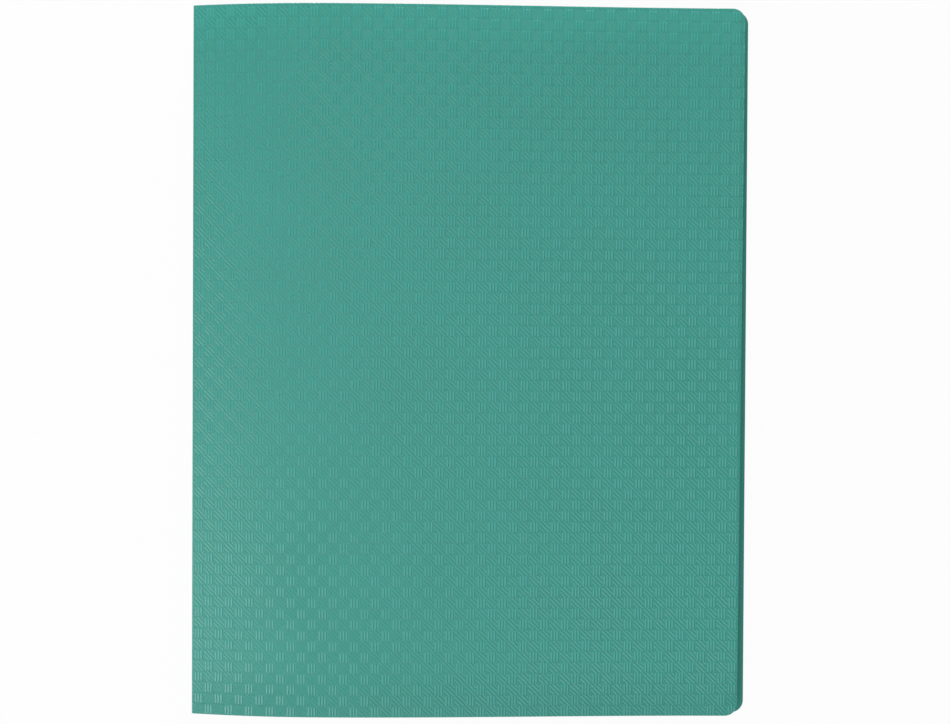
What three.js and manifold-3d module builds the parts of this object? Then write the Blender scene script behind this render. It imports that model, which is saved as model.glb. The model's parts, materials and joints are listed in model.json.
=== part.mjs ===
// A display book: one creased polypropylene cover, and ten clear pockets carried by a strip on its spine.
// Millimetres, +Z up. The closed book lies on its back cover, with its spine at -X, its fore-edge at +X
// and the open mouths of its pockets at the head, +Y. The origin is on the surface that the book lies
// on, under the middle of the book.
import * as THREE from "three";
import { mergeVertices } from "three/addons/utils/BufferGeometryUtils.js";
import Module from "manifold-3d";

const wasm = await Module();
wasm.setup();

// The sheets of paper that the pockets are made for
const paperWidth = 210;
const paperHeight = 297;

// Pockets: two films each, welded along the spine side, the fore-edge and the tail
const pocketCount = 10;
const filmThickness = 0.06;
const weldHeight = 0.04; // what a weld holds between the two films
const filmClearance = 0.02; // between the welds and the front film
const paperEase = 8.2; // spare width beside the paper
const headRoom = 5; // from the paper's top to the mouth
const spineWeldWidth = 9;
const foreWeldWidth = 1.5;
const tailWeldWidth = 3;
const frontFilmInset = 3; // the front film starts this far from the root
const rootPitch = 0.54;
const rootClearance = 0.1; // between the strip and the root of a pocket
const stackPitch = 0.3; // from pocket to pocket where they lie on the back cover
const stackClearance = 0.1; // between the back cover and the lowest pocket
const settleLength = 70; // how far from its root a pocket has come down on the stack

// Strip that the pockets are welded to
const stripThickness = 0.5;
const stripMargin = 0.22; // beside the first and the last root

// Cover sheet and its two creases
const sheetThickness = 0.7;
const coverMargin = 2.5; // past the pockets at head and tail
const foreMargin = 10.5; // from the pockets' fore-edge to the front cover's
const backOverhang = 3; // how far the back cover shows past the closed front cover
const closedSkew = 1.3; // the front cover's head corner reaches this much further than its tail corner
const cornerRadius = 5.5;
const creaseRadius = 1.2; // outside of the bend between the spine and a cover
const creaseWeb = 0.3; // what the pressed groove leaves of the sheet at a crease
const grooveHalfWidth = 0.4;
const creaseClearance = 0.1; // between the edges of the two panels that meet at a crease
const stripEndClearance = 0.15; // between the strip's edge and a crease

// Bow of the closed front cover, which springs up from its crease
const springAngle = THREE.MathUtils.degToRad(10.5);
const crownRise = 5.2; // from the height of the spine to the crown
const crownPlace = 56; // from the spine's outer face
const crownPull = 66; // how far the crown keeps its level towards the fore-edge
const freeEdgeLift = 2.12; // between the pockets and the front cover at its fore-edge
const freeEdgePull = 62; // how far the free edge keeps its level towards the crown

// Facets
const arcSteps = 8;
const riseSteps = 10;
const fallSteps = 16;
const settleSteps = 12;
const cornerSteps = 8;

// Sizes and places that follow
const backSlab = filmThickness + weldHeight;
const pocketThickness = backSlab + filmClearance + filmThickness;
const pocketHeight = paperHeight + headRoom + tailWeldWidth;
const rootReach = sheetThickness + stripThickness + rootClearance;
const pocketReach = rootReach + spineWeldWidth + paperWidth + paperEase + foreWeldWidth;
const stackTop = sheetThickness + stackClearance + (pocketCount - 1) * stackPitch + pocketThickness;
const stripWidth = (pocketCount - 1) * rootPitch + 2 * stripMargin;
const spineWidth = stripWidth + 2 * (stripEndClearance + creaseRadius);
const coverHeight = pocketHeight + 2 * coverMargin;
const frontReach = pocketReach + foreMargin;
const backReach = frontReach + backOverhang;
const crownHeight = spineWidth + crownRise;
const freeEdgeHeight = stackTop + freeEdgeLift + sheetThickness;
const creaseLow = creaseRadius;
const creaseHigh = spineWidth - creaseRadius;
const spineX = -backReach / 2;
const rootX = spineX + rootReach;
const past = 1; // how far a cutting tool runs past what it cuts

// Materials
const coverPlastic = { color: 0x4a9c8c, roughness: 0.45, metalness: 0 };
const stripPlastic = { color: 0xd9dcda, roughness: 0.5, metalness: 0 };
const clearFilm = { color: 0xe6ecec, roughness: 0.2, metalness: 0, transparent: true, opacity: 0.35 };

// Samples curves that follow each other, as places with the direction of travel there.
function trace(curves, steps) {
  const stations = [];
  curves.forEach((curve, k) => {
    for (let i = k ? 1 : 0; i <= steps[k]; i++) {
      const t = i / steps[k];
      stations.push({ at: curve.getPoint(t), along: curve.getTangent(t) });
    }
  });
  return stations;
}

// The outline between two lines that run at a distance to the left of a traced one.
function band(stations, near, far) {
  const side = (distance) =>
    stations.map(({ at, along }) => new THREE.Vector2(at.x - along.y * distance, at.y + along.x * distance));
  return new THREE.Shape([...side(near), ...side(far).reverse()]);
}

// Extrudes a profile drawn in X and Z along Y, from one place to another.
function alongY(profile, from, to) {
  const geometry = new THREE.ExtrudeGeometry(profile, { depth: to - from, bevelEnabled: false });
  return geometry.rotateX(Math.PI / 2).translate(0, to, 0);
}

// A box between two corners.
function block(low, high) {
  const size = high.clone().sub(low);
  const centre = high.clone().add(low).multiplyScalar(0.5);
  return new THREE.BoxGeometry(size.x, size.y, size.z).translate(centre.x, centre.y, centre.z);
}

// Turns a closed geometry into a solid that can be cut and joined.
function solid(geometry) {
  geometry.deleteAttribute("normal");
  geometry.deleteAttribute("uv");
  const merged = mergeVertices(geometry, 1e-5);
  const vertProperties = merged.attributes.position.array;
  const triVerts = new Uint32Array(merged.index.array);
  return new wasm.Manifold(new wasm.Mesh({ numProp: 3, vertProperties, triVerts }));
}

// Turns a solid back into a mesh with a name and a material of its own.
function named(name, body, material) {
  const { numProp, vertProperties, triVerts } = body.getMesh();
  const count = vertProperties.length / numProp;
  const positions = new Float32Array(count * 3);
  for (let i = 0; i < count; i++) {
    positions.set(vertProperties.subarray(i * numProp, i * numProp + 3), i * 3);
  }
  const geometry = new THREE.BufferGeometry();
  geometry.setAttribute("position", new THREE.BufferAttribute(positions, 3));
  geometry.setIndex(new THREE.BufferAttribute(triVerts, 1));
  const flat = geometry.toNonIndexed();
  flat.computeVertexNormals();
  const mesh = new THREE.Mesh(flat, new THREE.MeshStandardMaterial(material));
  mesh.name = name;
  return mesh;
}

// The outline of a cover seen from above, with its two fore-edge corners rounded.
// The fore-edge leans by the skew, evenly to both sides of its reach.
function coverOutline(reach, skew) {
  const half = coverHeight / 2;
  const headX = spineX + reach + skew / 2;
  const tailX = spineX + reach - skew / 2;
  const outline = new THREE.Shape();
  outline.moveTo(spineX - past, -half);
  outline.lineTo(tailX - cornerRadius, -half);
  outline.absarc(tailX - cornerRadius, -half + cornerRadius, cornerRadius, -Math.PI / 2, 0);
  outline.lineTo(headX, half - cornerRadius);
  outline.absarc(headX - cornerRadius, half - cornerRadius, cornerRadius, 0, Math.PI / 2);
  outline.lineTo(spineX - past, half);
  outline.closePath();
  return outline;
}

// Bends the cover's sheet along traced curves and trims it to its outline.
function coverPanel(stations, near, far, reach, skew) {
  const sheet = solid(alongY(band(stations, near, far), -coverHeight / 2 - past, coverHeight / 2 + past));
  const punch = new THREE.ExtrudeGeometry(coverOutline(reach, skew), {
    depth: crownHeight + 2 * past,
    bevelEnabled: false,
    curveSegments: cornerSteps,
  });
  return sheet.intersect(solid(punch.translate(0, 0, -past)));
}

// The groove pressed into the inner face of the sheet at a crease.
function creaseGroove(z) {
  const depth = sheetThickness - creaseWeb;
  const proud = depth / 8;
  const mouthX = spineX + sheetThickness + proud;
  const mouthHalf = grooveHalfWidth * (1 + proud / depth);
  const profile = new THREE.Shape([
    new THREE.Vector2(spineX + creaseWeb, z),
    new THREE.Vector2(mouthX, z - mouthHalf),
    new THREE.Vector2(mouthX, z + mouthHalf),
  ]);
  return solid(alongY(profile, -coverHeight / 2 - 2 * past, coverHeight / 2 + 2 * past));
}

// The back cover lies flat and turns up to the spine at its lower crease.
function backCover() {
  const centre = new THREE.Vector2(spineX + creaseRadius, creaseLow);
  const quarter = [Math.PI, Math.PI * 1.5];
  const bend = new THREE.EllipseCurve(centre.x, centre.y, creaseRadius, creaseRadius, ...quarter);
  const start = new THREE.Vector2(centre.x, 0);
  const flat = new THREE.LineCurve(start, new THREE.Vector2(spineX + backReach + past, 0));
  const sheet = coverPanel(trace([bend, flat], [arcSteps, 1]), 0, sheetThickness, backReach, 0);
  return sheet.subtract(creaseGroove(creaseLow));
}

// The front cover leaves its crease at the spring angle, rises to its crown and falls to its free edge.
function frontCover() {
  const centre = new THREE.Vector2(spineX + creaseRadius, creaseHigh);
  const sweep = [Math.PI, Math.PI / 2 + springAngle];
  const bend = new THREE.EllipseCurve(centre.x, centre.y, creaseRadius, creaseRadius, ...sweep, true);
  const spring = bend.getPoint(1);
  const crown = new THREE.Vector2(spineX + crownPlace, crownHeight);
  const knee = new THREE.Vector2(spring.x + (crown.y - spring.y) / Math.tan(springAngle), crown.y);
  const rise = new THREE.QuadraticBezierCurve(spring, knee, crown);
  const edge = new THREE.Vector2(spineX + frontReach, freeEdgeHeight);
  const crownHandle = new THREE.Vector2(crown.x + crownPull, crown.y);
  const edgeHandle = new THREE.Vector2(edge.x - freeEdgePull, edge.y);
  const fall = new THREE.CubicBezierCurve(crown, crownHandle, edgeHandle, edge);
  const lip = new THREE.LineCurve(edge, new THREE.Vector2(edge.x + closedSkew + past, edge.y));
  const stations = trace([bend, rise, fall, lip], [arcSteps, riseSteps, fallSteps, 1]);
  const sheet = coverPanel(stations, -sheetThickness, 0, frontReach, closedSkew);
  return sheet.subtract(creaseGroove(creaseHigh));
}

// The spine stands between the two creases, thinned at both edges by their grooves.
function spinePanel() {
  const low = new THREE.Vector3(spineX, -coverHeight / 2, creaseLow + creaseClearance);
  const high = new THREE.Vector3(spineX + sheetThickness, coverHeight / 2, creaseHigh - creaseClearance);
  return solid(block(low, high)).subtract(creaseGroove(creaseLow)).subtract(creaseGroove(creaseHigh));
}

// The strip lies flat on the inner face of the spine.
function bindingStrip() {
  const innerX = spineX + sheetThickness;
  const low = new THREE.Vector3(innerX, -pocketHeight / 2, (spineWidth - stripWidth) / 2);
  const high = new THREE.Vector3(innerX + stripThickness, pocketHeight / 2, (spineWidth + stripWidth) / 2);
  return solid(block(low, high));
}

// The underside of a pocket, with the pockets counted up from the back cover: level out of its root on
// the strip, down in an easy curve, and level again on the stack.
function pocketLine(index) {
  const rootZ = spineWidth / 2 + (index - (pocketCount - 1) / 2) * rootPitch - backSlab / 2;
  const stackZ = sheetThickness + stackClearance + index * stackPitch;
  const settledX = rootX + settleLength;
  const fall = new THREE.CubicBezierCurve(
    new THREE.Vector2(rootX, rootZ),
    new THREE.Vector2(rootX + settleLength / 3, rootZ),
    new THREE.Vector2(settledX - settleLength / 3, stackZ),
    new THREE.Vector2(settledX, stackZ),
  );
  const foreEdge = new THREE.Vector2(spineX + pocketReach, stackZ);
  return trace([fall, new THREE.LineCurve(fall.v3, foreEdge)], [settleSteps, 1]);
}

// Everything of a layer that lies between two places along X.
function between(layer, fromX, toX) {
  const low = new THREE.Vector3(fromX, -coverHeight, -past);
  const high = new THREE.Vector3(toX, coverHeight, crownHeight + past);
  return layer.intersect(solid(block(low, high)));
}

// The back film carries the welds, which stand up round the space for the paper. The space is open at
// the head.
function backFilm(line) {
  const tail = -pocketHeight / 2;
  const head = pocketHeight / 2;
  const slab = solid(alongY(band(line, 0, backSlab), tail, head));
  const space = solid(alongY(band(line, filmThickness, backSlab + past), tail + tailWeldWidth, head + past));
  const paperX = rootX + spineWeldWidth;
  return slab.subtract(between(space, paperX, spineX + pocketReach - foreWeldWidth));
}

// The front film lies on the welds and leaves the root free, where the pocket bends.
function frontFilm(line) {
  const underside = backSlab + filmClearance;
  const film = solid(alongY(band(line, underside, pocketThickness), -pocketHeight / 2, pocketHeight / 2));
  return between(film, rootX + frontFilmInset, spineX + pocketReach + past);
}

const book = new THREE.Group();
book.add(named("back_cover", backCover(), coverPlastic));
book.add(named("spine_panel", spinePanel(), coverPlastic));
book.add(named("front_cover", frontCover(), coverPlastic));
book.add(named("binding_strip", bindingStrip(), stripPlastic));

// The first pocket is the one under the front cover.
for (let page = 1; page <= pocketCount; page++) {
  const line = pocketLine(pocketCount - page);
  const name = "pocket_" + String(page).padStart(2, "0");
  book.add(named(name + "_back_film", backFilm(line), clearFilm));
  book.add(named(name + "_front_film", frontFilm(line), clearFilm));
}

export default book;
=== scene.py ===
# %% [markdown]
# A display book is a thin plastic cover with clear pockets inside. This lesson dresses a model of one
# that already has its real size, its moving panels and its joints. That model is the frame: nothing in
# it is moved here. Each new piece takes its place and its size from the frame.

# %% Load the frame
import json
import math

import bmesh
import bpy
import numpy as np
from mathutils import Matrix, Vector

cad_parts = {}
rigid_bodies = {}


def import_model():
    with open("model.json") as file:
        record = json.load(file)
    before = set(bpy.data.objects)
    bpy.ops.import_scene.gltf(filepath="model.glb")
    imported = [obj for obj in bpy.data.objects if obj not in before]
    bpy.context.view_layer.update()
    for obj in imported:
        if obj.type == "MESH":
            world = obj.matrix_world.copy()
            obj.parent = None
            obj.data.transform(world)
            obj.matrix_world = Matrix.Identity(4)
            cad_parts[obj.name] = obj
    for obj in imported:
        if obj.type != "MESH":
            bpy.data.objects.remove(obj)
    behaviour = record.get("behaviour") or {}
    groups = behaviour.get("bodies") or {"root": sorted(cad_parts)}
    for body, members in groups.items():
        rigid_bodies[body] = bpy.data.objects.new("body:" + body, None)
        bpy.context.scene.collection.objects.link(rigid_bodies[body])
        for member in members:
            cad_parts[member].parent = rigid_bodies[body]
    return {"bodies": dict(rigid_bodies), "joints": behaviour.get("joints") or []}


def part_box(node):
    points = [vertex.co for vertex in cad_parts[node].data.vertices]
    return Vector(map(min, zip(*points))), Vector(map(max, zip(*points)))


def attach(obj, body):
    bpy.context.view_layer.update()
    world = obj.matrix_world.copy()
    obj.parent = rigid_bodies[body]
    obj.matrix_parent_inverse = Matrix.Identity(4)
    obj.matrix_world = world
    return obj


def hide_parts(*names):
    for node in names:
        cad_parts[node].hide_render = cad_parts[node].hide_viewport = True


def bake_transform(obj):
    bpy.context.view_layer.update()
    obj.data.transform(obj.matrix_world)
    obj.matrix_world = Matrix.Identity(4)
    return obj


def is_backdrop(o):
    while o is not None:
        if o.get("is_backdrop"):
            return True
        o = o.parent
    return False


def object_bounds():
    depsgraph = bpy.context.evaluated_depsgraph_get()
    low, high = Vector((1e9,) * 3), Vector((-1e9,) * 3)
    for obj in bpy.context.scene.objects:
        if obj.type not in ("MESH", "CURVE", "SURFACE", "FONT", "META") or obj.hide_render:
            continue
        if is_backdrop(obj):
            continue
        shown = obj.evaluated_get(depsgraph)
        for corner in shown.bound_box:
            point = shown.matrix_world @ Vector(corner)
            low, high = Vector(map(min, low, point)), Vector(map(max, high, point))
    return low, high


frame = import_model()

cad_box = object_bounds()

# %% [markdown]
# The book's main sizes are read from the frame's own boxes and joints, so that the lesson and the model
# cannot drift apart. The cover is one sheet, creased twice. The two creases are the two hinges of the
# frame. What the boxes cannot tell is how the closed front cover bows, so those few sizes are written
# down once, in metres.

# %% Read the sizes
MM = 0.001
hinge = {joint["name"]: Vector(joint["pos_m"]) for joint in frame["joints"]}
back_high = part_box("back_cover")[1]
front_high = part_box("front_cover")[1]
spine_low, spine_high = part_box("spine_panel")
strip_low, strip_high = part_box("binding_strip")

spine_x = spine_low.x
sheet_thickness = spine_high.x - spine_low.x
cover_half = back_high.y
back_edge_x = back_high.x
crease_low = hinge["spine_fold"].z
crease_high = hinge["front_cover_fold"].z
spine_middle = (crease_low + crease_high) / 2
crease_radius = crease_low
corner_radius = 5.5 * MM
closed_skew = 1.3 * MM
front_edge_x = front_high.x - closed_skew / 2
crown_height = front_high.z
crown_x = spine_x + 56 * MM
crown_pull = 66 * MM
free_edge_height = 6.5 * MM
free_edge_pull = 62 * MM
spring_angle = math.radians(10.5)
print("cover", round((back_edge_x - spine_x) / MM, 1), "x", round(2 * cover_half / MM, 1), "mm")
print("creases at", round(crease_low / MM, 2), "and", round(crease_high / MM, 2), "mm")

# %% [markdown]
# The camera looks straight down from about 0.6 m, as for a catalogue picture, and is a little tilted and
# turned against the book. Its sizes come first, because everything is judged through it. The view
# transform is Standard, so that a colour renders about as it is written. The closed book puts forty clear
# faces in a row, so sight may pass through more of them than it does by default.

# %% Place the camera
camera_place = (4.1 * MM, 7.8 * MM, 600 * MM)
camera_turn = (math.radians(-0.75), math.radians(0.2), math.radians(0.3))
camera_lens = 51.3
camera_sensor = 36
clear_faces_in_a_row = 64

bpy.ops.object.select_all(action="DESELECT")
bpy.ops.object.camera_add(location=camera_place, rotation=camera_turn)
camera = bpy.context.active_object
camera.name = "camera"
camera.data.lens = camera_lens
camera.data.sensor_width = camera_sensor
scene = bpy.context.scene
scene.camera = camera
scene.view_settings.view_transform = "Standard"
scene.cycles.transparent_max_bounces = clear_faces_in_a_row
print("camera", [round(c, 4) for c in camera.location])

# %% [markdown]
# A sheet that is cut flat and then bent is best modelled the same way. Each panel starts as a flat
# plane, which gets its rounded corners, its thickness and its softened rim. Only then is it bent over a
# profile: a line seen from the tail, which says where each stretch of the flat sheet ends up. The flat
# place of every point is kept as its UV, so that the pattern pressed into the sheet follows the bend.
# The bend tool needs a window, so the bending is a short function of its own.

# %% Helpers: profiles
def straight(start, end, steps):
    """Points on a straight line in X and Z."""
    start, end = np.array(start), np.array(end)
    return [start + (end - start) * t for t in np.linspace(0, 1, steps + 1)]


def arc(centre, radius, start_angle, end_angle, steps):
    """Points on an arc in X and Z, with the angles in radians from +X."""
    angles = np.linspace(start_angle, end_angle, steps + 1)
    return [np.array((centre[0] + radius * math.cos(a), centre[1] + radius * math.sin(a))) for a in angles]


def bezier(points, steps):
    """Points on a Bezier curve of any degree in X and Z."""
    found = []
    for t in np.linspace(0, 1, steps + 1):
        level = [np.array(p, float) for p in points]
        while len(level) > 1:
            level = [a + (b - a) * t for a, b in zip(level, level[1:])]
        found.append(level[0])
    return found


class Profile:
    """A line in X and Z with its length so far and its outward normal at each point."""

    def __init__(self, *stretches, outward):
        points = [stretches[0][0]]
        for stretch in stretches:
            points.extend(stretch[1:])
        self.points = np.array(points)
        steps = np.diff(self.points, axis=0)
        self.run = np.concatenate([[0], np.cumsum(np.linalg.norm(steps, axis=1))])
        along = np.gradient(self.points, self.run, axis=0)
        along /= np.linalg.norm(along, axis=1)[:, None]
        self.normal = np.stack([-along[:, 1], along[:, 0]], axis=1) * outward
        self.length = self.run[-1]

    def run_at_x(self, x):
        """How far along the line the place X is, counted on its last stretch."""
        return float(np.interp(x, self.points[:, 0], self.run))

    def place(self, flat):
        """Bends flat points: X runs along the line, Y stays, Z goes out along the normal."""
        run, out = flat[:, 0], flat[:, 2]
        x, z = (np.interp(run, self.run, self.points[:, k]) for k in (0, 1))
        nx, nz = (np.interp(run, self.run, self.normal[:, k]) for k in (0, 1))
        size = np.hypot(nx, nz)
        return np.stack([x + out * nx / size, flat[:, 1], z + out * nz / size], axis=1)


# %% [markdown]
# The next helpers each do one thing that is otherwise done by hand in Blender's window: pick a piece, go
# into edit mode, select by place, cut across, add a modifier and apply it. The models below are strings of
# these steps.

# %% Helpers: flat sheets
def pick(piece):
    """Selects one piece alone and makes it the active one."""
    bpy.ops.object.select_all(action="DESELECT")
    piece.select_set(True)
    bpy.context.view_layer.objects.active = piece


def edit(piece):
    """Opens a piece in edit mode."""
    pick(piece)
    bpy.ops.object.mode_set(mode="EDIT")


def leave_edit():
    """Goes back to object mode, which keeps what was edited."""
    bpy.ops.object.mode_set(mode="OBJECT")


def select_points(piece, test):
    """Selects the points that pass the test, and nothing else. The piece is in edit mode."""
    bpy.ops.mesh.select_mode(type="VERT")
    bpy.ops.mesh.select_all(action="DESELECT")
    mesh = bmesh.from_edit_mesh(piece.data)
    for point in mesh.verts:
        point.select = bool(test(point.co))
    mesh.select_flush(True)
    bmesh.update_edit_mesh(piece.data)


def select_faces(piece, test):
    """Selects the faces that pass the test, and nothing else. The piece is in edit mode."""
    bpy.ops.mesh.select_mode(type="FACE")
    bpy.ops.mesh.select_all(action="DESELECT")
    mesh = bmesh.from_edit_mesh(piece.data)
    for face in mesh.faces:
        face.select = bool(test(face.calc_center_median(), face.normal))
    bmesh.update_edit_mesh(piece.data)


def new_piece(primitive, name, place, size):
    """A plane or a cube of the given size, with its centre at the place and its own origin at zero."""
    bpy.ops.object.select_all(action="DESELECT")
    primitive(size=1, location=place)
    piece = bpy.context.active_object
    piece.name = piece.data.name = name
    piece.scale = size
    bpy.ops.object.transform_apply(location=True, rotation=True, scale=True)
    return piece


def flat_sheet(name, start, end, half_width):
    """A flat sheet from start to end along X."""
    place, size = ((start + end) / 2, 0, 0), (end - start, 2 * half_width, 1)
    return new_piece(bpy.ops.mesh.primitive_plane_add, name, place, size)


def round_fore_edge(sheet, edge_x, skew, radius):
    """Leans the fore-edge by the skew and rounds its two corners."""
    edit(sheet)
    for side in (1, -1):
        select_points(sheet, lambda p: p.x > edge_x / 2 and p.y * side > 0)
        bpy.ops.transform.translate(value=(side * skew / 2, 0, 0))
    select_points(sheet, lambda p: p.x > edge_x / 2)
    bpy.ops.mesh.bevel(affect="VERTICES", offset=radius, segments=12, profile=0.5)
    leave_edit()


def cut(sheet, places, axis):
    """Cuts the sheet across at each place along the axis, so that it can bend there."""
    edit(sheet)
    for place in places:
        bpy.ops.mesh.select_all(action="SELECT")
        bpy.ops.mesh.bisect(plane_co=axis * place, plane_no=axis)
    leave_edit()


def apply_modifier(piece, kind, **settings):
    """Adds a modifier with its settings and applies it."""
    pick(piece)
    modifier = piece.modifiers.new(kind.title(), kind)
    for key, value in settings.items():
        setattr(modifier, key, value)
    bpy.ops.object.modifier_apply(modifier=modifier.name)


uv_gap = 10 * MM


def keep_flat_places(piece):
    """Writes each point's flat place as its UV, in metres. The under side lies beside the upper one."""
    mesh = piece.data
    layer = mesh.uv_layers[0]
    layer.name = "flat_sheet"
    span = max(v.co.x for v in mesh.vertices) + uv_gap
    for face in mesh.polygons:
        shift = span if face.normal.z < 0.5 else 0
        for corner in face.loop_indices:
            place = mesh.vertices[mesh.loops[corner].vertex_index].co
            layer.data[corner].uv = (place.x + shift, place.y + cover_half)


def points_of(piece):
    """The places of a piece's points, one row each."""
    return np.array([v.co for v in piece.data.vertices])


def set_points(piece, points):
    """Moves a piece's points to new places, in the same order."""
    piece.data.vertices.foreach_set("co", points.astype(np.float32).ravel())
    piece.data.update()


def smooth(piece, degrees):
    """Shades the piece smooth, but for edges that are sharper than the angle."""
    pick(piece)
    bpy.ops.object.shade_smooth_by_angle(angle=math.radians(degrees))


X_AXIS, Y_AXIS = Vector((1, 0, 0)), Vector((0, 1, 0))

# %% [markdown]
# The cover sheet is made in two halves that meet in the middle of the spine. Each half crosses one
# crease. The profile of the front half climbs the spine, turns over the crease and then rises in a bow
# to its crown, because a creased sheet springs open a little. The back half runs down the spine, turns
# and lies flat.

# %% Draw the two profiles
bend_x = spine_x + crease_radius
spring_point = (
    bend_x - crease_radius * math.sin(spring_angle),
    crease_high + crease_radius * math.cos(spring_angle),
)
bow_knee = (spring_point[0] + (crown_height - spring_point[1]) / math.tan(spring_angle), crown_height)
crown = (crown_x, crown_height)
free_edge = (front_edge_x, free_edge_height)
past_front_edge, past_back_edge = 2 * MM, 1 * MM

front_profile = Profile(
    straight((spine_x, spine_middle), (spine_x, crease_high), 16),
    arc((bend_x, crease_high), crease_radius, math.pi, math.pi / 2 + spring_angle, 24),
    bezier((spring_point, bow_knee, crown), 120),
    bezier((crown, (crown_x + crown_pull, crown_height),
            (front_edge_x - free_edge_pull, free_edge_height), free_edge), 160),
    straight(free_edge, (front_edge_x + past_front_edge, free_edge_height), 4),
    outward=1,
)
back_profile = Profile(
    straight((spine_x, spine_middle), (spine_x, crease_low), 16),
    arc((bend_x, crease_low), crease_radius, math.pi, 1.5 * math.pi, 24),
    straight((bend_x, 0), (back_edge_x + past_back_edge, 0), 200),
    outward=-1,
)
print("front half, flat:", round(front_profile.length / MM, 1), "mm")

# %% [markdown]
# A half starts as a flat sheet of its full length. It is cut across where it will bend, closely at the
# crease and wider further out, and gets its thickness and its softened rim. At the crease the sheet is
# pressed thinner, as the real one is, so that it folds there and nowhere else.

# %% Model a half of the cover
spine_run = spine_middle - crease_low
rim_width = 0.16 * MM
groove_outside, groove_inside, groove_half_width = 0.06 * MM, 0.22 * MM, 0.45 * MM
rows_along_spine = 14


def cover_cuts(edge):
    """Where a half is cut across: closely at the spine and the crease, then wider and wider."""
    near = np.arange(0.2, 12, 0.2) * MM
    middle = np.arange(13, 62, 1.75) * MM
    far = np.arange(62, edge / MM - 1, 4) * MM
    return [*near, *middle, *far]


def press_crease(points):
    """Thins the flat sheet at the crease: a shallow groove outside and a deeper one inside."""
    ridge = np.exp(-(((points[:, 0] - spine_run) / groove_half_width) ** 2))
    share = -points[:, 2] / sheet_thickness
    points[:, 2] += ridge * (share * groove_inside - (1 - share) * groove_outside)
    return points


def cover_half_sheet(name, profile, edge_x, skew):
    """A half of the cover: cut flat, thickened, softened at its rim, creased and bent."""
    edge = profile.run_at_x(edge_x)
    sheet = flat_sheet(name, 0, edge, cover_half)
    round_fore_edge(sheet, edge, skew, corner_radius)
    cut(sheet, cover_cuts(edge), X_AXIS)
    cut(sheet, np.linspace(-cover_half, cover_half, rows_along_spine + 1)[1:-1], Y_AXIS)
    apply_modifier(sheet, "SOLIDIFY", thickness=sheet_thickness, offset=-1)
    apply_modifier(sheet, "BEVEL", width=rim_width, segments=3, limit_method="ANGLE")
    keep_flat_places(sheet)
    for face in sheet.data.polygons:
        face.material_index = 0 if face.normal.z > 0.5 else 1
    set_points(sheet, profile.place(press_crease(points_of(sheet))))
    smooth(sheet, 40)
    return sheet


front_half = cover_half_sheet("cover_front_half", front_profile, front_edge_x, closed_skew)
back_half = cover_half_sheet("cover_back_half", back_profile, back_edge_x, 0)
for half in (front_half, back_half):
    print(half.name, len(half.data.polygons), "faces")

# %% [markdown]
# The lower half was bent to the other side of its line, so its faces now point inwards. A closed sheet
# that is inside out is put right by recalculating its normals.

# %% Turn the faces outwards
for half in (front_half, back_half):
    edit(half)
    bpy.ops.mesh.select_all(action="SELECT")
    bpy.ops.mesh.normals_make_consistent(inside=False)
    leave_edit()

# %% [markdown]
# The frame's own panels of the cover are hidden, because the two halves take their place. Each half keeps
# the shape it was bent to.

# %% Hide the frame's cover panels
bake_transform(front_half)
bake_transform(back_half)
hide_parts("front_cover", "spine_panel")
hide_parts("back_cover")

# %% [markdown]
# A pocket is two films, welded to each other along the spine side, the fore-edge and the tail. Each film
# is a sheet of its own, and both lie on the same line: level out of the strip, down in an easy curve,
# and level again on the stack. The pockets are numbered from the front cover, and their places are read
# from the frame.

# %% Draw the line of each pocket
film_thickness = 0.06 * MM
weld_height = 0.04 * MM
film_clearance = 0.02 * MM
spine_weld = 9.1 * MM
fore_weld = 1.5 * MM
tail_weld = 3 * MM
front_film_start = 3.1 * MM
settle_length = 70 * MM
film_rows = 8
film_end_margin = 0.1 * MM
pocket_low, pocket_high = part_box("pocket_01_back_film")
pocket_half = pocket_high.y
pocket_edge_x = pocket_high.x
strip_face_x = strip_high.x
root_x = pocket_low.x
pocket_numbers = [n for n in range(1, 100) if f"pocket_{n:02d}" in frame["bodies"]]


def pocket_profile(number):
    """The line of a pocket's underside, from the strip's face to its fore-edge."""
    root_z = hinge[f"pocket_{number:02d}_turn"].z - (film_thickness + weld_height) / 2
    stack_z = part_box(f"pocket_{number:02d}_back_film")[0].z
    settled_x = root_x + settle_length
    return Profile(
        straight((strip_face_x, root_z), (root_x, root_z), 2),
        bezier(((root_x, root_z), (root_x + settle_length / 3, root_z),
                (settled_x - settle_length / 3, stack_z), (settled_x, stack_z)), 80),
        straight((settled_x, stack_z), (pocket_edge_x, stack_z), 20),
        outward=1,
    )


profiles = {number: pocket_profile(number) for number in pocket_numbers}
film_length = profiles[1].length
print(len(profiles), "pockets,", round(film_length / MM, 1), "mm from the strip to the fore-edge")

# %% [markdown]
# Both films are modelled once, flat. The back film's welded bands are selected by their place and
# extruded by the height of a weld. The front film is a plain sheet above it.

# %% Model the two films of one pocket, flat
def film_cuts(start, end):
    """Where a film is cut across: closely where it bends, then wider."""
    near = np.arange(0.5, 16, 0.75) * MM
    middle = np.arange(18, 76, 3) * MM
    far = np.arange(80, 228, 12) * MM
    first, last = start + film_end_margin, end - film_end_margin
    return [place for place in (*near, *middle, *far) if first < place < last]


def film(name, start, lift):
    """A flat film, lifted to its place above the pocket's line."""
    sheet = flat_sheet(name, start, film_length, pocket_half)
    cut(sheet, film_cuts(start, film_length), X_AXIS)
    cut(sheet, np.linspace(-pocket_half, pocket_half, film_rows + 1)[1:-1], Y_AXIS)
    edit(sheet)
    bpy.ops.mesh.select_all(action="SELECT")
    bpy.ops.transform.translate(value=(0, 0, lift))
    leave_edit()
    return sheet


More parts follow.
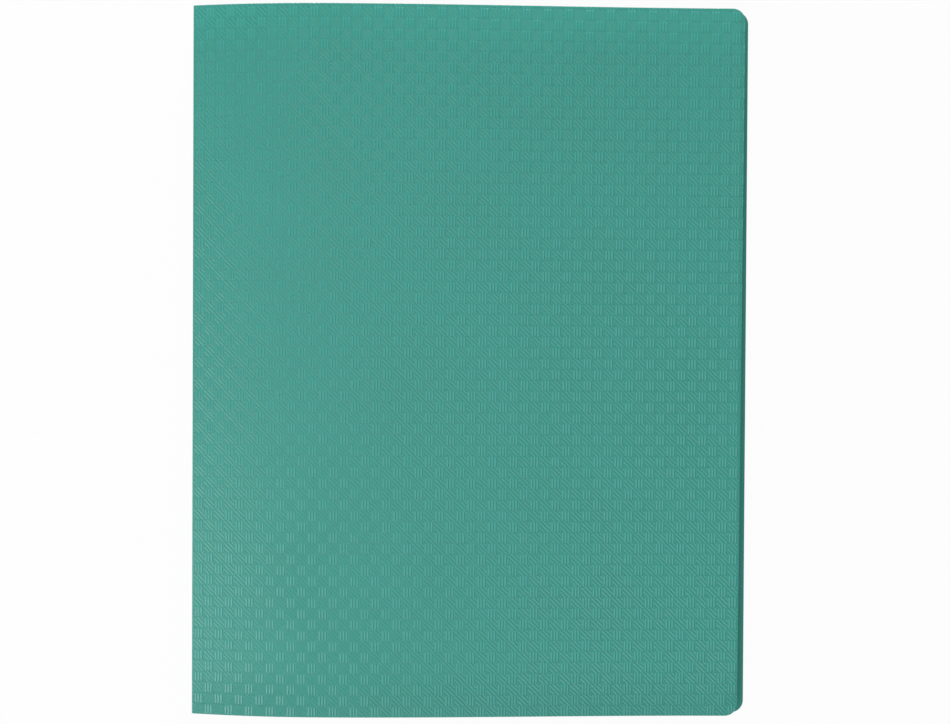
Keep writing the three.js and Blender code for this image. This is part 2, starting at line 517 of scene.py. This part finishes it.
def raise_welds(sheet, paper_start, paper_end, paper_tail):
    """Raises the bands round the paper: at the spine side, the fore-edge and the tail."""
    def welded(place, normal):
        round_paper = place.x < paper_start or place.x > paper_end or place.y < paper_tail
        return round_paper and normal.z > 0.5

    edit(sheet)
    select_faces(sheet, welded)
    bpy.ops.mesh.extrude_region_move(TRANSFORM_OT_translate={"value": (0, 0, weld_height)})
    leave_edit()


def flat_pocket():
    """The back film with its welds and the front film above it, both flat."""
    paper_start, paper_end = spine_weld, film_length - fore_weld
    paper_tail = -pocket_half + tail_weld
    back = film("pocket_back_sheet", 0, 0)
    cut(back, (paper_start, paper_end), X_AXIS)
    cut(back, [paper_tail], Y_AXIS)
    apply_modifier(back, "SOLIDIFY", thickness=film_thickness, offset=1)
    raise_welds(back, paper_start, paper_end, paper_tail)
    front = film("pocket_front_sheet", front_film_start, film_thickness + weld_height + film_clearance)
    apply_modifier(front, "SOLIDIFY", thickness=film_thickness, offset=1)
    for sheet in (back, front):
        keep_flat_places(sheet)
    return back, front


flat_back, flat_front = flat_pocket()
print("flat films:", len(flat_back.data.polygons), "and", len(flat_front.data.polygons), "faces")

# %% [markdown]
# Each pocket gets its own copies of the two flat films, bent over its own line. A pocket is stiff enough
# to turn as a whole, and bends close to its root.


def copy_of(piece, name):
    """A copy with a mesh of its own."""
    twin = piece.copy()
    twin.data = piece.data.copy()
    twin.name = twin.data.name = name
    bpy.context.collection.objects.link(twin)
    return twin


def bent_film(flat, number, part):
    """A copy of a flat film, named after its part, on the line of its pocket."""
    profile = profiles[number]
    sheet = copy_of(flat, f"pocket_{number:02d}_{part}_sheet")
    points = points_of(sheet)
    points[:, 0] *= profile.length / film_length
    set_points(sheet, profile.place(points))
    smooth(sheet, 30)
    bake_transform(sheet)
    return sheet


films = []
for number in pocket_numbers:
    for flat, part in ((flat_back, "back"), (flat_front, "front")):
        sheet = bent_film(flat, number, part)
        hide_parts(f"pocket_{number:02d}_{part}_film")
        films.append(sheet)
for flat in (flat_back, flat_front):
    bpy.data.objects.remove(flat)
print(len(films), "films")

# %% [markdown]
# The strip inside the spine carries the pockets. It starts as a cube at the strip's own box. Its long
# edges are softened, and its face is pressed into shallow channels between the weld lines, one line for
# each pocket, so that the pockets seem to grow out of it.

# %% Model the strip
channel_depth = 0.08 * MM
channel_rim = 0.04 * MM
strip_rim = 0.08 * MM
channel_margin, channel_reach = 0.3, 0.15


def binding_strip():
    """The strip with its channels, made from a cube."""
    place, size = (strip_low + strip_high) / 2, strip_high - strip_low
    strip = new_piece(bpy.ops.mesh.primitive_cube_add, "pocket_strip", place, size)
    roots = sorted(hinge[f"pocket_{n:02d}_turn"].z for n in pocket_numbers)
    gaps = list(zip(roots, roots[1:]))
    edit(strip)
    for low, high in gaps:
        for height in (low + (high - low) * channel_margin, high - (high - low) * channel_margin):
            bpy.ops.mesh.select_all(action="SELECT")
            bpy.ops.mesh.bisect(plane_co=(0, 0, height), plane_no=(0, 0, 1))
    middles = [(low + high) / 2 for low, high in gaps]
    reach = (roots[1] - roots[0]) * channel_reach
    select_faces(strip, lambda p, normal: normal.x > 0.5 and min(abs(p.z - m) for m in middles) < reach)
    bpy.ops.mesh.inset(thickness=channel_rim, depth=-channel_depth, use_individual=True)
    leave_edit()
    sharp = math.radians(80)
    apply_modifier(strip, "BEVEL", width=strip_rim, segments=2, limit_method="ANGLE", angle_limit=sharp)
    smooth(strip, 35)
    return strip


strip = binding_strip()
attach(strip, "spine")
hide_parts("binding_strip")
print("strip", len(strip.data.polygons), "faces")

# %% [markdown]
# Materials come next. Two effects are node groups: the pattern pressed into the cover, and the grain that
# both plastics share. A small helper strings nodes together, so that a formula reads as one.

# %% Helpers: nodes
class Nodes:
    """Adds nodes to a tree and links them."""

    def __init__(self, tree):
        self.tree = tree
        tree.nodes.clear()

    def add(self, kind, inputs=(), **settings):
        node = self.tree.nodes.new(kind)
        for key, value in settings.items():
            setattr(node, key, value)
        for socket, value in dict(inputs).items():
            self.feed(node.inputs[socket], value)
        return node

    def feed(self, socket, value):
        if isinstance(value, bpy.types.NodeSocket):
            self.tree.links.new(value, socket)
        else:
            socket.default_value = value

    def math(self, operation, *values):
        node = self.tree.nodes.new("ShaderNodeMath")
        node.operation = operation
        for socket, value in zip(node.inputs, values):
            self.feed(socket, value)
        return node.outputs[0]

    def ramp(self, value, low, high, to_low=0.0, to_high=1.0):
        """A smooth step from one value to another."""
        node = self.add("ShaderNodeMapRange", interpolation_type="SMOOTHSTEP")
        for socket, number in zip(node.inputs, (value, low, high, to_low, to_high)):
            self.feed(socket, number)
        return node.outputs[0]


def effect_group(name, inputs, outputs):
    """An empty node group with named inputs and outputs."""
    tree = bpy.data.node_groups.new(name, "ShaderNodeTree")
    for socket, kind, default in inputs:
        made = tree.interface.new_socket(name=socket, in_out="INPUT", socket_type="NodeSocket" + kind)
        if default is not None:
            made.default_value = default
    for socket, kind in outputs:
        tree.interface.new_socket(name=socket, in_out="OUTPUT", socket_type="NodeSocket" + kind)
    nodes = Nodes(tree)
    return nodes, nodes.add("NodeGroupInput"), nodes.add("NodeGroupOutput")


# %% [markdown]
# The pattern is a checkerboard of small ribbed squares. Every second square holds three upright ribs, and
# the others hold slanting ones that run on from square to square. Each kind of rib is a cosine wave, and
# soft windows end the upright ribs just inside their square. The pattern is computed from the sheet's
# flat places, in metres, so it keeps its size over the bends. It also tells where the crests of the upright
# ribs are, so that a paler colour can be laid on them there as a painted highlight.

# %% Group: the pressed pattern
side_window, end_window = (0.41, 0.48), (0.33, 0.50)


def pressed_pattern():
    """The height of the pattern at a flat place, and where the upright ribs' crests are."""
    inputs = [
        ("Flat", "Vector", None),
        ("Square Width", "Float", 4.6 * MM),
        ("Square Height", "Float", 4.75 * MM),
        ("Upright Pitch", "Float", 1.26 * MM),
        ("Slant Pitch", "Float", 1.43 * MM),
        ("Slant Height", "Float", 0.82),
    ]
    n, given, result = effect_group("pressed_pattern", inputs, [("Height", "Float"), ("Crest", "Float")])
    flat = n.add("ShaderNodeSeparateXYZ", {0: given.outputs["Flat"]})
    across = n.math("DIVIDE", flat.outputs["X"], given.outputs["Square Width"])
    up = n.math("DIVIDE", flat.outputs["Y"], given.outputs["Square Height"])
    cell = n.math("ADD", n.math("FLOOR", across), n.math("FLOOR", up))
    slanting = n.math("MODULO", cell, 2.0)
    u = n.math("SUBTRACT", n.math("FRACT", across), 0.5)
    v = n.math("SUBTRACT", n.math("FRACT", up), 0.5)
    x = n.math("MULTIPLY", u, given.outputs["Square Width"])
    y = n.math("MULTIPLY", v, given.outputs["Square Height"])
    upright_turn = n.math("DIVIDE", n.math("MULTIPLY", x, math.tau), given.outputs["Upright Pitch"])
    upright = n.math("MULTIPLY_ADD", n.math("COSINE", upright_turn), 0.5, 0.5)
    inside_sides = n.ramp(n.math("ABSOLUTE", u), *side_window, 1.0, 0.0)
    inside_ends = n.ramp(n.math("ABSOLUTE", v), *end_window, 1.0, 0.0)
    for window in (inside_sides, inside_ends):
        upright = n.math("MULTIPLY", upright, window)
    diagonal = n.math("DIVIDE", n.math("ADD", x, y), math.sqrt(2))
    slant_turn = n.math("DIVIDE", n.math("MULTIPLY", diagonal, math.tau), given.outputs["Slant Pitch"])
    slant_share = n.math("MULTIPLY", given.outputs["Slant Height"], 0.5)
    slant = n.math("MULTIPLY_ADD", n.math("COSINE", slant_turn), slant_share, 0.5)
    height = n.add("ShaderNodeMix", {0: slanting, 2: upright, 3: slant}, data_type="FLOAT")
    n.feed(result.inputs["Height"], height.outputs[0])
    # The crest mask marks where the painted highlight goes on the upright ribs.
    n.feed(result.inputs["Crest"], n.math("MULTIPLY", upright, n.math("SUBTRACT", 1.0, slanting)))
    return n.tree


# %% [markdown]
# Moulded and rolled plastic is never quite even. The grain group gives one fine noise for its surface and
# one broad, cloudy noise for its colour and gloss.

# %% Group: grain
def fine_grain():
    """Fine unevenness of moulded plastic, as a height, and broad unevenness, as a soft mask."""
    inputs = [
        ("Place", "Vector", None),
        ("Grain Size", "Float", 0.5 * MM),
        ("Cloud Size", "Float", 40 * MM),
    ]
    n, given, result = effect_group("fine_grain", inputs, [("Height", "Float"), ("Cloud", "Float")])
    for name, size, detail in (("Height", "Grain Size", 2.0), ("Cloud", "Cloud Size", 3.0)):
        scale = n.math("DIVIDE", 1.0, given.outputs[size])
        sockets = {"Vector": given.outputs["Place"], "Scale": scale, "Detail": detail}
        noise = n.add("ShaderNodeTexNoise", sockets)
        n.feed(result.inputs[name], noise.outputs["Fac"])
    return n.tree


pattern_group = pressed_pattern()
grain_group = fine_grain()
print("groups:", pattern_group.name, grain_group.name)

# %% [markdown]
# The cover is a satin sheet, coloured all through. Outside it carries the pressed pattern, and the crests
# of its upright ribs are painted a paler green, a painted highlight. Inside it is plain, and its colour is
# darkened as painted shade, for the edge of the back cover that lies in the shade of the front cover. Both
# sides share their grain. The groups only give heights and masks, and the shader stays in the material.

# %% Materials: the cover
def new_material(name):
    """A material with an empty node tree, and the helper that fills it."""
    material = bpy.data.materials.new(name)
    material.use_nodes = True
    return material, Nodes(material.node_tree)


def principled(n, **constants):
    """A Principled shader on the material's output, with its constant sockets set directly."""
    shader = n.add("ShaderNodeBsdfPrincipled")
    for key, value in constants.items():
        shader.inputs[key.replace("_", " ")].default_value = value
    output = n.add("ShaderNodeOutputMaterial")
    n.tree.links.new(shader.outputs[0], output.inputs["Surface"])
    return shader


def blend_colours(n, mask, first, second):
    """A blend of two colours, each of them either three numbers or a socket."""
    mix = n.add("ShaderNodeMix", data_type="RGBA")
    n.feed(mix.inputs[0], mask)
    for socket, colour in ((mix.inputs[6], first), (mix.inputs[7], second)):
        n.feed(socket, colour if isinstance(colour, bpy.types.NodeSocket) else (*colour, 1))
    return mix.outputs[2]


def use_group(n, group, **values):
    """Places a node group, with a value or a socket for each named input."""
    node = n.add("ShaderNodeGroup", node_tree=group)
    for key, value in values.items():
        n.feed(node.inputs[key.replace("_", " ")], value)
    return node


sea_green = (0.018, 0.282, 0.224)
sea_green_pale = (0.028, 0.312, 0.254)
# A paler green for the crests of the upright ribs: a painted highlight.
painted_crest_highlight = (0.040, 0.352, 0.298)
# The inside's colour is darkened by this share: painted shade.
inside_painted_shade = 0.82
plastic_ior = 1.49
rib_height = 0.195 * MM
outer_roughness, inner_roughness = 0.27, 0.55
cover_grain = 0.006 * MM
cloud_low, cloud_high = 0.3, 0.7
gloss_spread = 0.03


def cover_material(name, depth, roughness, share=1.0):
    """The cover's plastic, with the pattern and painted crest highlight if it has a depth; the share paints
    shade.
    """
    material, n = new_material(name)
    flat = n.add("ShaderNodeUVMap", uv_map="flat_sheet").outputs[0]
    grain = use_group(n, grain_group, Place=flat)
    shader = principled(n, IOR=plastic_ior)
    # A share below one darkens the colour as painted shade.
    dark, pale = ([channel * share for channel in colour] for colour in (sea_green, sea_green_pale))
    colour = blend_colours(n, grain.outputs["Cloud"], dark, pale)
    least, most = roughness - gloss_spread, roughness + gloss_spread
    gloss = n.ramp(grain.outputs["Cloud"], cloud_low, cloud_high, least, most)
    n.feed(shader.inputs["Roughness"], gloss)
    fine = n.add("ShaderNodeBump", {"Height": grain.outputs["Height"], "Distance": cover_grain})
    normal = fine.outputs[0]
    if depth:
        pressed = use_group(n, pattern_group, Flat=flat)
        ribs = {"Height": pressed.outputs["Height"], "Distance": depth, "Normal": normal}
        normal = n.add("ShaderNodeBump", ribs).outputs[0]
        # The crests of the upright ribs get a paler green: a painted highlight.
        colour = blend_colours(n, pressed.outputs["Crest"], colour, painted_crest_highlight)
    n.feed(shader.inputs["Base Color"], colour)
    n.feed(shader.inputs["Normal"], normal)
    return material


outside = cover_material("cover_pressed_face", rib_height, outer_roughness)
# The plain inside is darker: painted shade.
inside = cover_material("cover_plain_shaded_face", 0, inner_roughness, inside_painted_shade)
for half in (front_half, back_half):
    half.data.materials.append(outside)
    half.data.materials.append(inside)
    plain = sum(face.material_index for face in half.data.polygons)
    print(half.name, plain, "plain faces of", len(half.data.polygons))

# %% [markdown]
# The pocket film is clear, with a faint veil that is stronger where the films are welded. The veil is the
# shader's alpha. Light and sight pass through forty faces of film here, so the material stays as plain as
# it can be: one colour, one gloss, and a mask for the welds.

# %% Materials: film and strip
film_veil = 0.045
weld_veil = 0.05
weld_blur = 0.3 * MM
film_tint = (0.86, 0.90, 0.90)
film_roughness = 0.18
milky = (0.66, 0.70, 0.69)
milky_pale = (0.76, 0.79, 0.78)
strip_grain = 0.01 * MM
strip_roughness = (0.42, 0.52)


def film_material():
    """Clear film, with its welds seen from the flat places."""
    material, n = new_material("pocket_clear_film")
    flat = n.add("ShaderNodeUVMap", uv_map="flat_sheet").outputs[0]
    shader = principled(n, Base_Color=(*film_tint, 1), Roughness=film_roughness, IOR=plastic_ior)
    place = n.add("ShaderNodeSeparateXYZ", {0: flat})
    tail_start = cover_half - pocket_half + tail_weld
    near_root = n.ramp(place.outputs["X"], spine_weld - weld_blur, spine_weld + weld_blur, 1.0, 0.0)
    near_tail = n.ramp(place.outputs["Y"], tail_start - weld_blur, tail_start + weld_blur, 1.0, 0.0)
    weld = n.math("MAXIMUM", near_root, near_tail)
    n.feed(shader.inputs["Alpha"], n.math("MULTIPLY_ADD", weld, weld_veil, film_veil))
    return material


def strip_material():
    """Milky plastic with a soft gloss."""
    material, n = new_material("strip_milky_plastic")
    place = n.add("ShaderNodeTexCoord").outputs["Object"]
    grain = use_group(n, grain_group, Place=place)
    shader = principled(n, IOR=plastic_ior)
    colour = blend_colours(n, grain.outputs["Cloud"], milky, milky_pale)
    n.feed(shader.inputs["Base Color"], colour)
    gloss = n.ramp(grain.outputs["Cloud"], cloud_low, cloud_high, *strip_roughness)
    n.feed(shader.inputs["Roughness"], gloss)
    fine = n.add("ShaderNodeBump", {"Height": grain.outputs["Height"], "Distance": strip_grain})
    n.feed(shader.inputs["Normal"], fine.outputs[0])
    return material


clear_film = film_material()
for sheet in films:
    sheet.data.materials.append(clear_film)
strip.data.materials.append(strip_material())
print("films and strip are finished")

# %% [markdown]
# The floor and the surroundings are a plain white studio. To the camera, and in reflections, they show
# as white. The floor still takes the book's soft shadow. A wide lamp stands at the left, towards the
# tail: it rakes over the ribs and gives the broad sheen by the spine. A second wide lamp hangs high, a
# little to the left, and shows in the gloss of the ribs. Two smaller ones, low behind the head and high
# at the tail, keep the slanting ribs soft in the middle of the cover, where they hardly show.

# %% Stage and light
floor_size = 40
floor_depth = 0.1 * MM
floor_white_share = 0.93
paper_white = (0.9, 0.9, 0.9, 1)
lamp_white = (1, 1, 1, 1)
room_light = 0.364


def background_rays(n):
    """One for rays from the camera, off a gloss or through film, and zero for the rest."""
    rays = n.add("ShaderNodeLightPath").outputs
    seen = n.math("MAXIMUM", rays["Is Camera Ray"], rays["Is Glossy Ray"])
    return n.math("MAXIMUM", seen, rays["Is Transmission Ray"])


def studio_floor():
    """A wide plane just under the book, white to the camera and grey paper to the light."""
    bpy.ops.object.select_all(action="DESELECT")
    bpy.ops.mesh.primitive_plane_add(size=floor_size, location=(0, 0, -floor_depth))
    floor = bpy.context.active_object
    floor.name = "floor"
    material, n = new_material("floor_white")
    paper = n.add("ShaderNodeBsdfDiffuse", {"Color": paper_white})
    white = n.add("ShaderNodeEmission", {"Color": lamp_white, "Strength": 1.0})
    share = n.math("MULTIPLY", background_rays(n), floor_white_share)
    mix = n.add("ShaderNodeMixShader", {0: share, 1: paper.outputs[0], 2: white.outputs[0]})
    output = n.add("ShaderNodeOutputMaterial")
    n.tree.links.new(mix.outputs[0], output.inputs["Surface"])
    floor.data.materials.append(material)
    floor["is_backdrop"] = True


def studio_world(level):
    """White surroundings, which light the book at the given level."""
    world = bpy.data.worlds.new("studio")
    world.use_nodes = True
    scene.world = world
    n = Nodes(world.node_tree)
    strength = n.ramp(background_rays(n), 0, 1, level, 1.0)
    light = n.add("ShaderNodeBackground", {"Color": lamp_white, "Strength": strength})
    output = n.add("ShaderNodeOutputWorld")
    n.tree.links.new(light.outputs[0], output.inputs["Surface"])


def soft_lamp(name, place, size, power):
    """A square lamp that faces the middle of the book."""
    bpy.ops.object.select_all(action="DESELECT")
    bpy.ops.object.light_add(type="AREA", location=place)
    lamp = bpy.context.active_object
    lamp.name = name
    lamp.data.shape = "SQUARE"
    lamp.data.size = size
    lamp.data.energy = power
    lamp.rotation_euler = (-Vector(place)).to_track_quat("-Z", "Y").to_euler()


studio_floor()
studio_world(room_light)
soft_lamp("left_lamp", (-1.75, -0.83, 0.70), 1.14, 13.51)
soft_lamp("high_lamp", (-0.35, -0.16, 1.15), 1.01, 3.83)
soft_lamp("head_lamp", (0.05, 1.65, 0.26), 0.30, 26.88)
soft_lamp("tail_lamp", (-0.12, -0.99, 1.06), 0.52, 2.29)
print("studio is lit")

# %% [markdown]
# Last, the size of the dressed book is written beside the size of the frame. The two boxes must agree,
# because the looks never change the object's size.

# %% Print the two boxes and finish
visual_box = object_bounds()
for name, box in (("frame", cad_box), ("dressed", visual_box)):
    print(name, [round(c / MM, 2) for c in (*box[0], *box[1])])
